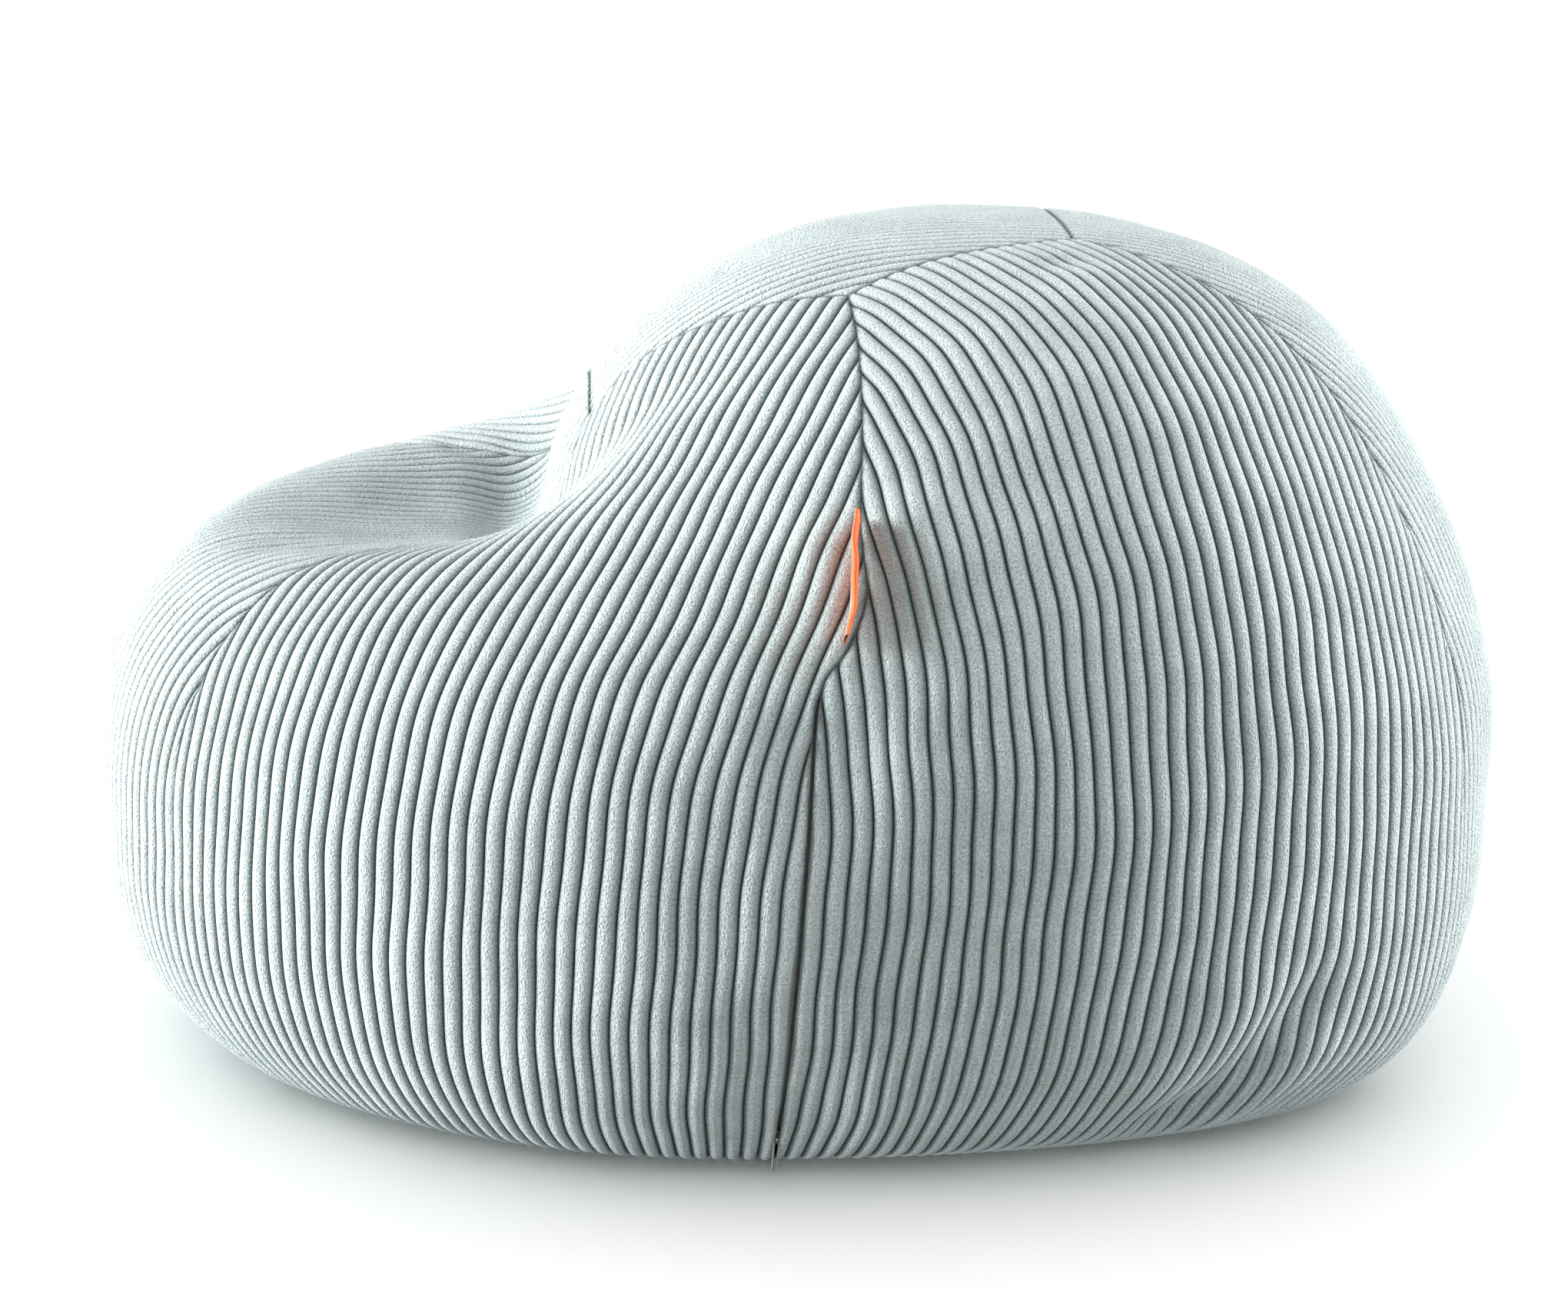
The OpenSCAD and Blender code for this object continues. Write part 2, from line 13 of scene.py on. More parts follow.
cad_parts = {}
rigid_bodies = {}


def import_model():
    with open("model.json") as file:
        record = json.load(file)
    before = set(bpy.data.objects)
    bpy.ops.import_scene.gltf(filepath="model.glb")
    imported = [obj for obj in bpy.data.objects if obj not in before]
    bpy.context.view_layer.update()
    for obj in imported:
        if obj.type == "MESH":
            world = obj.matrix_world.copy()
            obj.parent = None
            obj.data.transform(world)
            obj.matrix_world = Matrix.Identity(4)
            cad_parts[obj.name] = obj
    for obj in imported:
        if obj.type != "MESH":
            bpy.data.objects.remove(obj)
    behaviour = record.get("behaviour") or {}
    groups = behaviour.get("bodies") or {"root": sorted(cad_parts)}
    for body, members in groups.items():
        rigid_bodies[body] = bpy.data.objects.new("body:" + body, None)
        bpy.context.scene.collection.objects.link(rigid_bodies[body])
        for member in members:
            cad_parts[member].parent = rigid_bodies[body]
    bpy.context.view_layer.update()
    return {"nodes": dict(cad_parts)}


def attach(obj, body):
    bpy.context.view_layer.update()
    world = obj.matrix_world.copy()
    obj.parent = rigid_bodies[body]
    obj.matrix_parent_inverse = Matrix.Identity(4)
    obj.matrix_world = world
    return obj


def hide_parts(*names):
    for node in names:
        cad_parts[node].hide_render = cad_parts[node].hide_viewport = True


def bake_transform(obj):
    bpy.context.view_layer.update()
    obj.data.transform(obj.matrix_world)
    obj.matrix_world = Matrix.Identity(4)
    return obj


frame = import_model()

MM = 0.001
LEAN = math.radians(4.5)
SEAM_Y = -26.0
CORE = np.array([0, SEAM_Y + 230 * math.tan(LEAN), 230.0])
PLANE_N = np.array([0, math.cos(LEAN), -math.sin(LEAN)])
PLANE_UP = np.array([0, math.sin(LEAN), math.cos(LEAN)])
# Both zips run on an arc in the seam plane: its centre and its radius
ARC_X, ARC_Z, ARC_R = 185.0, 203.0, 272.0
# The hexagonal top panel: half its width, its middle, and its reach to front and to rear
TOP_HALF_W, TOP_MID_Y, TOP_FRONT, TOP_REAR = 188.0, 36.0, 209, 195
BASE_HALF_W, BASE_HALF_L = 330, 375
GORES = ["front", "front_right", "rear_right", "rear", "rear_left", "front_left"]

# ---- the bag's surface ----


def sstep(a, b, x):
    t = np.clip((x - a) / (b - a), 0, 1)
    return t * t * (3 - 2 * t)


def mix(a, b, t):
    return a + (b - a) * t


def smooth_min(a, b, k):
    h = np.clip(0.5 + 0.5 * (b - a) / k, 0, 1)
    return b * (1 - h) + a * h - k * h * (1 - h)


def smooth_max(a, b, k):
    return -smooth_min(-a, -b, k)


def unit(v):
    return v / np.linalg.norm(v, axis=-1, keepdims=True)


def lobe(p, mid, half_w, half_l, rise, drop, plan_n, side_n):
    q = (np.abs((p[..., 0] - mid[0]) / half_w) ** plan_n
         + np.abs((p[..., 1] - mid[1]) / half_l) ** plan_n) ** (1 / plan_n)
    h = np.where(p[..., 2] > mid[2], rise, drop)
    v = np.abs(p[..., 2] - mid[2]) / h
    k = np.maximum(1e-6, (q**side_n + v**side_n) ** (1 / side_n))
    w = (q / k) ** side_n
    return (k - 1) * (w * (half_w + half_l) / 2 + (1 - w) * h)


def ellipsoid(p, mid, r):
    q = (p - np.array(mid)) / np.array(r)
    k = np.linalg.norm(q, axis=-1)
    return k * (k - 1) / (np.linalg.norm(q / np.array(r), axis=-1) + 1e-12)


def blob(p, mid, reach, height):
    """A soft rise or dent round a point."""
    d = np.linalg.norm((p - np.array(mid)) / np.array(reach), axis=-1)
    return height * np.exp(-d * d)


def off_plane(p):
    return (p - [0, SEAM_Y, 0]) @ PLANE_N


def along_plane(p):
    return (p - [0, SEAM_Y, 0]) @ PLANE_UP


def plan_round(y):
    return mix(2.05, 2.6, sstep(-250, 250, y))


def bag(p):
    """Signed distance to the outer surface of the whole bag."""
    body = lobe(p, (0, -2, 190), 452, 512, 264, 250, plan_round(p[..., 1]), 2.8)
    seated = smooth_max(body, -ellipsoid(p, (40, -262, 723), (430, 430, 340)), 45)
    crease = np.exp(-((p[..., 0] / 190) ** 4)) * sstep(20, 120, -p[..., 1])
    back = lobe(p, (0, 146, 336), 385, 330, 272, 272, 2.1, 2.35)
    bulges = sum(blob(p, (x, 400, 60), 150, 14) for x in (300, -300))
    joined = smooth_min(seated, back, mix(130, 18, crease)) - bulges
    w = along_plane(p)
    arc = np.hypot(np.abs(p[..., 0]) - ARC_X, w - ARC_Z) - ARC_R
    share = np.exp(-((off_plane(p) / 42) ** 4)) * sstep(14, 34, w) * (1 - sstep(312, 350, w))
    return smooth_max(mix(joined, arc, share), -p[..., 2], 24)


def reach(start, way, near, far, steps=20):
    lo, hi = np.full(way.shape[:-1], near), np.full(way.shape[:-1], far)
    for _ in range(steps):
        half = (lo + hi) / 2
        inside = bag(start + way * half[..., None]) < 0
        lo, hi = np.where(inside, half, lo), np.where(inside, hi, half)
    return (lo + hi) / 2


def normal(p, e=1.5):
    steps = np.eye(3) * e
    return unit(np.stack([bag(p + d) - bag(p - d) for d in steps], -1))


def aim(az, el):
    az, el = np.radians(az), np.radians(el)
    x, y, z = np.cos(el) * np.sin(az), -np.cos(el) * np.cos(az), np.sin(el)
    c, s = math.cos(LEAN), math.sin(LEAN)
    return np.stack([x, y * c + z * s, -y * s + z * c], -1)


def azimuth(p):
    v = p - CORE
    return np.degrees(np.arctan2(v[..., 0], -(v @ PLANE_N)))


def elevation(p):
    v = p - CORE
    return np.degrees(np.arcsin(v @ PLANE_UP / np.linalg.norm(v, axis=-1)))


def top_corner(k):
    a = math.radians(60 * k - 30)
    length = TOP_FRONT if math.cos(a) > 0 else TOP_REAR
    return np.array([TOP_HALF_W * math.sin(a), TOP_MID_Y - length * math.cos(a)])


def on_top(plan):
    start = np.concatenate([plan, np.full(plan.shape[:-1] + (1,), 300.0)], -1)
    up = np.broadcast_to([0.0, 0.0, 1.0], start.shape)
    return start + up * reach(start, up, 0.0, 500.0, 24)[..., None]


def base_edge(az, grow=0.0):
    a = np.radians(az)
    n = plan_round(-BASE_HALF_L * np.cos(a))
    r = np.abs(np.sin(a) / BASE_HALF_W) ** n + np.abs(np.cos(a) / BASE_HALF_L) ** n
    r = r ** (-1 / n) + grow
    return np.stack([r * np.sin(a), SEAM_Y - r * np.cos(a)], -1)


def gore_point(k, s, t):
    """Point of gore k: s goes across it from -1 to 1, and t up it from 0 to 1."""
    s, t = np.broadcast_arrays(np.asarray(s, float), np.asarray(t, float))
    az = 60 * (k + s / 2)
    low = base_edge(az, 0.4)
    low = np.concatenate([low, np.zeros(low.shape[:-1] + (1,))], -1)
    high = on_top(mix(top_corner(k), top_corner(k + 1), (s[..., None] + 1) / 2))
    el = mix(elevation(low), elevation(high), t)
    up = sstep(0.6, 1, t)
    turn_low = (azimuth(low) - az + 180) % 360 - 180
    turn_high = (azimuth(high) - az + 180) % 360 - 180
    step = 3.5 * sstep(13, 26, el) * np.exp(-(((az - 90) / 22) ** 2))
    turn = turn_low * (1 - sstep(0, 0.25, t)) + turn_high * up + step * (1 - up)
    way = aim(az + turn, el)
    p = CORE + way * reach(CORE, way, 60.0, 900.0)[..., None]
    p = np.where((t <= 0)[..., None], low, p)
    return np.where((t >= 1)[..., None], high, p)


# ---- zips: each runs on an arc in the seam plane ----

# Where each zip starts and ends on the arc, in degrees
ZIP_FROM, ZIP_TO = -41.0, 25.0
LINER_FROM, LINER_TO = -22.0, 20.0
# How far each part lies under the face of the cloth
TAPE_DEPTH, COIL_DEPTH = 6.9, 7.7
LINER_TAPE_DEPTH, LINER_COIL_DEPTH = 11.8, 12.6
LINER_DEPTH, BEAD_DEPTH = 8.4, 11.4


def near_zip(p, low=(-10, 8), high=(330, 352)):
    """How far a point belongs to the stretch of side seam that the zips close."""
    w = along_plane(p)
    return np.exp(-((off_plane(p) / 42) ** 4)) * sstep(*low, w) * (1 - sstep(*high, w))


def arc_point(angle, depth, offset, side):
    """Point of a zip: degrees up its arc, millimetres under the cloth's face and to the front."""
    a = np.radians(np.asarray(angle, float))
    r = ARC_R - np.asarray(depth, float)
    x, w = ARC_X + r * np.cos(a), ARC_Z + r * np.sin(a)
    offset = np.broadcast_to(offset, x.shape)
    flat = np.stack([side * x, np.full(x.shape, SEAM_Y), np.zeros(x.shape)], -1)
    return flat + w[..., None] * PLANE_UP - offset[..., None] * PLANE_N


# ---- cloth: undulation, dents and folds, as heights along the normal ----


def wave(p, size, seed):
    flat = p.reshape(-1, 3) / size
    got = [noise.noise(Vector((a + seed, b, c))) for a, b, c in flat]
    return np.array(got).reshape(p.shape[:-1])


def fold(p, a, b, width, height):
    """A rounded ridge, or a channel where height is negative, that fades out at a and b."""
    a, b = np.array(a, float), np.array(b, float)
    t = (p - a) @ (b - a) / ((b - a) @ (b - a))
    d = np.linalg.norm(p - a - np.clip(t, 0, 1)[..., None] * (b - a), axis=-1)
    ends = sstep(-0.15, 0.3, t) * (1 - sstep(0.7, 1.15, t))
    return height * ends * np.exp(-((d / width) ** 2))


# Each fold of the cloth: its two ends, its half width and its height
FOLDS = [
    ((378, 34, 446), (414, 38, 352), 15, -3.5),
    ((366, 56, 466), (398, 80, 405), 26, 4.0),
    ((352, 4, 452), (398, 0, 372), 16, 3.0),
    ((418, 36, 352), (446, 112, 300), 22, -3.5),
    ((366, 226, 18), (392, 350, 136), 20, -11.0),
    ((396, 206, 62), (416, 300, 150), 26, 5.0),
    ((352, 262, 2), (372, 352, 92), 22, 5.0),
    ((452, 6, 150), (448, 120, 124), 16, -4.0),
    ((448, -62, 132), (452, 10, 146), 14, -3.0),
    ((424, 130, 330), (404, 300, 300), 30, -3.5),
    ((380, 90, 470), (330, 230, 480), 26, -3.0),
    ((-140, -206, 398), (150, -206, 400), 24, -12.0),
    ((-60, -240, 400), (120, -196, 430), 15, -3.5),
    ((60, -262, 400), (190, -190, 432), 13, 3.0),
    ((118, -388, 392), (150, -300, 400), 12, -3.0),
    ((150, -352, 398), (190, -262, 410), 12, -2.5),
    ((90, -420, 372), (96, -330, 392), 12, -2.5),
    ((-180, -262, 412), (-40, -196, 430), 13, -3.0),
    ((-150, -215, 432), (-30, -180, 452), 12, -3.0),
    ((150, 205, 596), (182, 150, 560), 14, -3.0),
]


def relief(p):
    h = 4.0 * wave(p, 170.0, 3.1) + 1.8 * wave(p, 75.0, 8.7) - 1.0
    h = h + sum(fold(p, *f) for f in FOLDS)
    return np.clip(h, -14, 6) * (1 - near_zip(p))


def puffed(p, n):
    return p + n * relief(p)[..., None]


def dragged(p):
    """The cloth beside the label's lower end, drawn to the rear by the stitches there."""
    z = p[..., 2]
    pull = 7.0 * sstep(354, 372, z) * (1 - sstep(384, 455, z)) * (p[..., 0] > 0)
    pull = pull * np.exp(-(((p[..., 1] - 20) / 70) ** 2))
    return p + pull[..., None] * [0, 1.0, 0]


# ---- mesh helpers ----


def padded_ends(v):
    return np.concatenate([2 * v[:1] - v[1:2], v, 2 * v[-1:] - v[-2:-1]])


def cubic_weights(f):
    return np.stack([
        -0.5 * f + f * f - 0.5 * f**3,
        1 - 2.5 * f * f + 1.5 * f**3,
        0.5 * f + 2 * f * f - 1.5 * f**3,
        -0.5 * f * f + 0.5 * f**3,
    ])


def resample(v, x):
    """Catmull-Rom samples of v, along its first axis, at the fractional places x."""
    v = padded_ends(v)
    i = np.clip(np.floor(x).astype(int), 0, len(v) - 4)
    w = cubic_weights(x - i)
    return sum(w[j][(...,) + (None,) * (v.ndim - 1)] * v[i + j] for j in range(4))


def build(name, verts, faces, body="bag"):
    mesh = bpy.data.meshes.new(name)
    mesh.from_pydata((np.asarray(verts) * MM).tolist(), [], faces)
    mesh.update()
    mesh.shade_smooth()
    obj = bpy.data.objects.new(name, mesh)
    bpy.context.scene.collection.objects.link(obj)
    if body:
        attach(obj, body)
    return obj


def compact(points, faces, **values):
    """Drops the points that no face uses."""
    used = np.unique(np.concatenate([np.ravel(f) for f in faces]))
    at = np.zeros(len(points), int)
    at[used] = np.arange(len(used))
    return points[used], [f for g in faces for f in at[g].tolist()], {
        n: v[used] for n, v in values.items()}


def add_values(obj, **values):
    for name, v in values.items():
        a = obj.data.attributes.new(name, "FLOAT", "POINT")
        a.data.foreach_set("value", np.asarray(v, np.float32))


def grid_faces(ids):
    return np.stack([ids[:-1, :-1], ids[:-1, 1:], ids[1:, 1:], ids[1:, :-1]], -1).reshape(-1, 4)


def swept(sections, start=0):
    """Faces of a tube through sections [station][point], numbered from start, with end caps."""
    n, m = sections.shape[:2]
    ids = start + np.arange(n * m).reshape(n, m)
    ids = np.concatenate([ids, ids[:, :1]], 1)
    faces = grid_faces(ids).tolist()
    return faces + [ids[0, -2::-1].tolist(), ids[-1, :-1].tolist()]


def border(ids):
    """The border of a grid of point numbers, clockwise from outside, without repeats."""
    ring = np.concatenate([ids[:-1, 0], ids[-1, :-1], ids[:0:-1, -1], ids[0, :0:-1]])
    return ring[ring != np.roll(ring, 1)]


# ---- ribbed cloth ----

# Grid on which a gore's form is worked out, and the rows of its finished mesh
COLS, ROWS = 40, 100
FINE_ROWS = 216
# Spacing and height of the cords
CORD = 13.4
CORD_H = 4.6
# How far a seam is drawn in, and half the gap that is left in it
SEAM_IN, ZIP_SEAM_IN = 0.5, -0.8
SEAM_GAP, SLIT_GAP = 0.05, 1.15
# Places across a cord, from groove to groove
ACROSS = [-1, -0.93, -0.8, -0.5, 0, 0.5, 0.8, 0.93]
# Turned-in edge of a panel: depth below the seam, and how far it is drawn in from it
SKIRT = [(1.2, 0.2), (3.5, 0.9), (7.5, 2.2)]
ZIP_SKIRT = [(1.0, 0.1), (2.2, 0.4), (3.2, 1.0)]


def cord_profile(x):
    """Height of a rib, 0 in its groove and 1 on its crest, for x from -1 to 1."""
    return np.sqrt(np.clip(1 - np.abs(x) ** 2.3, 0, 1))


def ribs(n_left, n_right):
    places = [i + (a + 1) / 2 for i in range(-n_left, n_right) for a in ACROSS] + [n_right]
    shape = [cord_profile(a) for _ in range(n_left + n_right) for a in ACROSS] + [0.0]
    return np.array(places), np.array(shape)


def depth_under(shape, seam, sink):
    """How far ribbed cloth lies under its crests, and how free of the seam its ribs are."""
    free = sstep(-1.0, 3.4, seam)
    h = shape * np.sqrt(free)
    down = CORD_H * (1 - h) * mix(0.4, 1, free) + sink * (1 - sstep(0, 6, seam))
    # The second value also sets the cloth's painted shade: held near 0.42 along the seam, it
    # paints the seam line mid-dark
    return down, mix(0.42, h, sstep(0, 2.5, seam))


def hemmed(points, normals, ids, zip_share, values):
    """Adds the turned-in edge round a grid, whose faces it returns with the longer lists."""
    ring = border(ids)
    inner = np.concatenate([ids[:-1, 1], ids[-2, :-1], ids[:0:-1, -2], ids[1, :0:-1]])
    outer = np.concatenate([ids[:-1, 0], ids[-1, :-1], ids[:0:-1, -1], ids[0, :0:-1]])
    inner = inner[outer != np.roll(outer, 1)]
    toward = points[inner] - points[ring]
    size = np.linalg.norm(toward, axis=-1, keepdims=True)
    toward = np.where(size > 0.01, toward / np.maximum(size, 0.01), 0)
    rings, share = [ring], zip_share[ring][:, None]
    for (deep, drawn), (zip_deep, zip_drawn) in zip(SKIRT, ZIP_SKIRT):
        new = points[ring] - normals[ring] * mix(deep, zip_deep, share)
        new = new + toward * mix(drawn, zip_drawn, share)
        rings.append(len(points) + np.arange(len(ring)))
        points = np.concatenate([points, new])
        normals = np.concatenate([normals, normals[ring]])
        zip_share = np.concatenate([zip_share, zip_share[ring]])
        values = {n: np.concatenate([v, v[ring]]) for n, v in values.items()}
    faces = []
    for a, b in zip(rings, rings[1:]):
        faces.append(np.stack([a, np.roll(a, -1), np.roll(b, -1), b], -1))
    return points, values, np.concatenate(faces)


def gore_mesh(k, grid, normals):
    """Ribbed mesh of a gore from its coarse grid [row][column] and its normals."""
    x_rows = np.linspace(0, ROWS, FINE_ROWS + 1)
    P, N = resample(grid, x_rows), unit(resample(normals, x_rows))
    rises = np.linalg.norm(np.diff(P[:, COLS // 2], axis=0), axis=-1)
    climb = np.concatenate([[0], np.cumsum(rises)])
    top_gap = climb[-1] - climb
    runs = np.linalg.norm(np.diff(P, axis=1), axis=-1)
    u = np.concatenate([np.zeros((len(P), 1)), np.cumsum(runs, 1)], 1)
    u -= u[:, COLS // 2, None]
    slit = near_zip(P, (-10, -2), (338, 352)) * (P[..., 0] > 0)
    left = -u[:, 0] - mix(SEAM_GAP, SLIT_GAP, slit[:, 0])
    right = u[:, -1] - mix(SEAM_GAP, SLIT_GAP, slit[:, -1])
    scale = []
    for edge in (left, right):
        belly = int(np.argmax(edge[: int(0.6 * len(edge))]))
        wide = edge[belly]
        part = np.where(np.arange(len(edge)) < belly, (edge / wide) ** 0.92, 1.0)
        scale.append((part, wide))
    n_left, n_right = (math.ceil(w / CORD) for _, w in scale)
    places, shape = ribs(n_left, n_right)
    c = places * np.where(places < 0, scale[0][1] / n_left, scale[1][1] / n_right)
    n_cols = len(c)
    points, ways, lists, first, last = [], [], [], [], []
    for r in range(len(P)):
        target = np.where(c < 0, c * scale[0][0][r], c * scale[1][0][r])
        sway = 0.7 * np.sin(climb[r] / 31 + c / 23)
        target = target + sway + 0.5 * np.sin(climb[r] / 13 - c / 41)
        lo, hi = -left[r], right[r]
        inside = np.flatnonzero((target > lo + 0.2) & (target < hi - 0.2))
        a, b = (inside[0] - 1, inside[-1] + 1) if len(inside) else (0, n_cols - 1)
        first.append(max(a, 0))
        last.append(min(b, n_cols - 1))
        target = np.clip(target, lo, hi)
        target[: first[-1] + 1], target[last[-1]:] = lo, hi
        at = np.interp(target, u[r], np.arange(COLS + 1))
        q, n = resample(P[r], at), unit(resample(N[r], at))
        seam = np.minimum(np.minimum(target - lo, hi - target), top_gap[r])
        share = near_zip(q)
        down, h = depth_under(shape, seam, mix(SEAM_IN, ZIP_SEAM_IN, share))
        points.append(q - n * down[:, None])
        ways.append(n)
        lists.append([h, seam, c, np.full(n_cols, climb[r]), share])
    points, ways = np.concatenate(points), np.concatenate(ways)
    cord, depth, across, along, share = np.concatenate(lists, 1)
    first, last = np.array(first), np.array(last)
    rows = np.arange(len(P))[:, None]
    ids = rows * n_cols + np.clip(np.arange(n_cols), first[:, None], last[:, None])
    a, b, d, e = ids[:-1, :-1], ids[:-1, 1:], ids[1:, 1:], ids[1:, :-1]
    low_open, high_open = a != b, d != e
    quads = np.stack([a, b, d, e], -1)[low_open & high_open]
    up_tris = np.stack([a, b, d], -1)[low_open & ~high_open]
    down_tris = np.stack([a, d, e], -1)[~low_open & high_open]
    values = {"cord": cord, "seam": depth, "across": across + 1000 * k, "along": along}
    beside_first = np.take_along_axis(ids, np.minimum(first + 1, n_cols - 1)[:, None], 1)
    beside_last = np.take_along_axis(ids, np.maximum(last - 1, 0)[:, None], 1)
    edge_ids = np.concatenate(
        [ids[:, :1], beside_first, ids[:, 2:-2], beside_last, ids[:, -1:]], 1)
    points, values, skirt = hemmed(points, ways, edge_ids, share, values)
    verts, faces, values = compact(points, [quads, up_tris, down_tris, skirt], **values)
    obj = build(f"cover_{GORES[k]}", verts, faces)
    add_values(obj, **values)
    return obj


def cover_gore(k):
    s_line, t_line = np.linspace(-1, 1, COLS + 1), np.linspace(0, 1, ROWS + 1)
    grid = gore_point(k, s_line[None, :], t_line[:, None])
    normals = normal(grid)
    normals[0] = unit(normals[1] * [1, 1, 0] - [0, 0, 1.5])
    lifted = relief(grid) * sstep(0, 40, grid[..., 2])
    obj = gore_mesh(k, dragged(grid + normals * lifted[..., None]), normals)
    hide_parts(f"{GORES[k]}_gore")
    return obj


def cover_top():
    half_w, mid_y = TOP_HALF_W, TOP_MID_Y
    n = math.ceil(half_w / CORD)
    places, shape = ribs(n, n)
    x = np.clip(places * half_w / n, 0.1 - half_w, half_w - 0.1)
    corners = [top_corner(k) for k in range(6)]
    inner = corners[1][0]
    slope = np.clip((np.abs(x) - inner) / (half_w - inner), 0, 1)
    v = np.linspace(0.002, 0.998, 71)[:, None]
    y = mix(mix(corners[1][1], mid_y, slope), mix(corners[3][1], mid_y, slope), v)
    plan = np.stack([np.broadcast_to(x, y.shape), y], -1)
    gap = np.full(y.shape, 1e9)
    for a, b in zip(corners, corners[1:] + corners[:1]):
        d = unit(b - a)
        out = np.array([d[1], -d[0]])
        gap = np.minimum(gap, np.abs((a - plan) @ out))
    p = on_top(plan)
    n_p = normal(p)
    down, h = depth_under(shape, gap, SEAM_IN)
    p = puffed(p, n_p) - n_p * down[..., None]
    ids = np.arange(y.size).reshape(y.shape)
    values = {"cord": h.ravel(), "seam": gap.ravel(), "across": plan[..., 0].ravel() + 7000,
              "along": y.ravel()}
    points, values, skirt = hemmed(p.reshape(-1, 3), n_p.reshape(-1, 3), ids,
                                   np.zeros(y.size), values)
    obj = build("cover_top", points, grid_faces(ids).tolist() + skirt.tolist())
    add_values(obj, **values)
    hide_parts("top_panel")
    return obj


def cover_base(thick=3.6, rib_h=1.6):
    """The flat panel that the bag stands on: its ribs are pressed against the floor."""
    edge = base_edge(np.linspace(0, 180, 361))
    half_w = BASE_HALF_W - 0.5
    n = math.ceil(half_w / CORD)
    places = np.array([i + (a + 1) / 2 for i in range(-n, n) for a in (-1, -0.6, 0, 0.6)] + [n])
    shape = np.array([1 - abs(a) ** 3 for _ in range(2 * n) for a in (-1, -0.6, 0, 0.6)] + [0.0])
    x = places * half_w / n
    y_low = np.interp(np.abs(x), edge[:181, 0], edge[:181, 1])
    y_high = np.interp(np.abs(x), edge[:179:-1, 0], edge[:179:-1, 1])
    y = mix(y_low, y_high, np.linspace(0, 1, 61)[:, None])
    plan_x = np.broadcast_to(x, y.shape)
    h = np.broadcast_to(shape, y.shape)
    faces, points = [], []
    for z, flip in ((rib_h * (1 - h), True), (np.full(y.shape, thick), False)):
        ids = len(points) * y.size + np.arange(y.size).reshape(y.shape)
        points.append(np.stack([plan_x, y, z], -1).reshape(-1, 3))
        faces.append(grid_faces(ids[:, ::-1] if flip else ids))
    low = border(np.arange(y.size).reshape(y.shape))
    high = low + y.size
    faces.append(np.stack([np.roll(low, -1), low, high, np.roll(high, -1)], -1))
    obj = build("cover_base", np.concatenate(points), np.concatenate(faces).tolist())
    values = {"cord": np.tile(h.ravel(), 2), "seam": np.full(2 * y.size, 20.0),
              "across": np.tile(plan_x.ravel(), 2) + 8000, "along": np.tile(y.ravel(), 2)}
    add_values(obj, **values)
    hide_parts("base_panel")
    return obj


# ---- liner and bead filling ----


def half_dir(sign, polar, turn):
    polar, turn = np.radians(polar), np.radians(turn)
    flat = np.cos(turn)[..., None] * [1.0, 0, 0] + np.sin(turn)[..., None] * PLANE_UP
    return sign * np.cos(polar)[..., None] * PLANE_N + np.sin(polar)[..., None] * flat


def layer(way, depth, both_sides, floor_z):
    """A soft layer under the cover, which keeps clear of the zips and bridges the seat's fold."""
    p = CORE + way * reach(CORE, way, 60.0, 900.0)[..., None]
    n = normal(p)
    w = along_plane(p)
    dip = np.exp(-((off_plane(p) / 24) ** 2)) * sstep(6, 22, w) * (1 - sstep(330, 360, w))
    dip = dip * np.where((p[..., 0] > 0) | both_sides, 8.5, 0)
    fold_d = np.hypot(p[..., 1] + 205, p[..., 2] - 395)
    dip = dip + 37 * np.exp(-((fold_d / 105) ** 2)) * np.exp(-((p[..., 0] / 240) ** 4))
    wrinkle = 0.7 * wave(p, 34.0, 5.3) * (1 - near_zip(p))
    q = p + n * (relief(p) - 0.8 + wrinkle - depth - dip)[..., None]
    q[..., 2] = np.maximum(q[..., 2], floor_z)
    return q


def cloth_half(name, sign):
    polar, turn = np.linspace(0, 90, 31), np.linspace(0, 360, 145)[:-1]
    polar = 90 * np.sin(np.radians(polar)) ** 0.9
    grids = []
    for under in (0, 1.0):
        way = half_dir(sign, polar[1:, None], turn[None, :])
        q = layer(way, LINER_DEPTH + under, False, 5.0 + under)
        w = along_plane(q[-1])
        open_zip = sstep(70, 90, w) * (1 - sstep(322, 345, w)) * (q[-1, :, 0] < 0)
        q[-1] += sign * mix(0.4, 5.6, open_zip)[:, None] * PLANE_N
        pole = layer(half_dir(sign, np.zeros(1), np.zeros(1)), LINER_DEPTH + under, False, 5.0)
        grids.append((pole, q))
    n_rings, n_cols = grids[0][1].shape[:2]
    points, faces = [], []
    for pole, q in grids:
        start = sum(len(v) for v in points)
        ids = start + 1 + np.arange(n_rings * n_cols).reshape(n_rings, n_cols)
        ids = np.concatenate([ids, ids[:, :1]], 1)
        points += [pole, q.reshape(-1, 3)]
        outer = start == 0
        flip = (sign > 0) == outer
        cap = [[start, int(a), int(b)] for a, b in zip(ids[0], ids[0][1:])]
        quads = grid_faces(ids).tolist()
        faces += [f[::-1] for f in cap + quads] if flip else cap + quads
    size = n_rings * n_cols + 1
    rim = 1 + (n_rings - 1) * n_cols + np.arange(n_cols)
    band = np.stack([rim, np.roll(rim, -1), np.roll(rim, -1) + size, rim + size], -1)
    faces += (band if sign < 0 else band[:, ::-1]).tolist()
    return build(name, np.concatenate(points), faces)


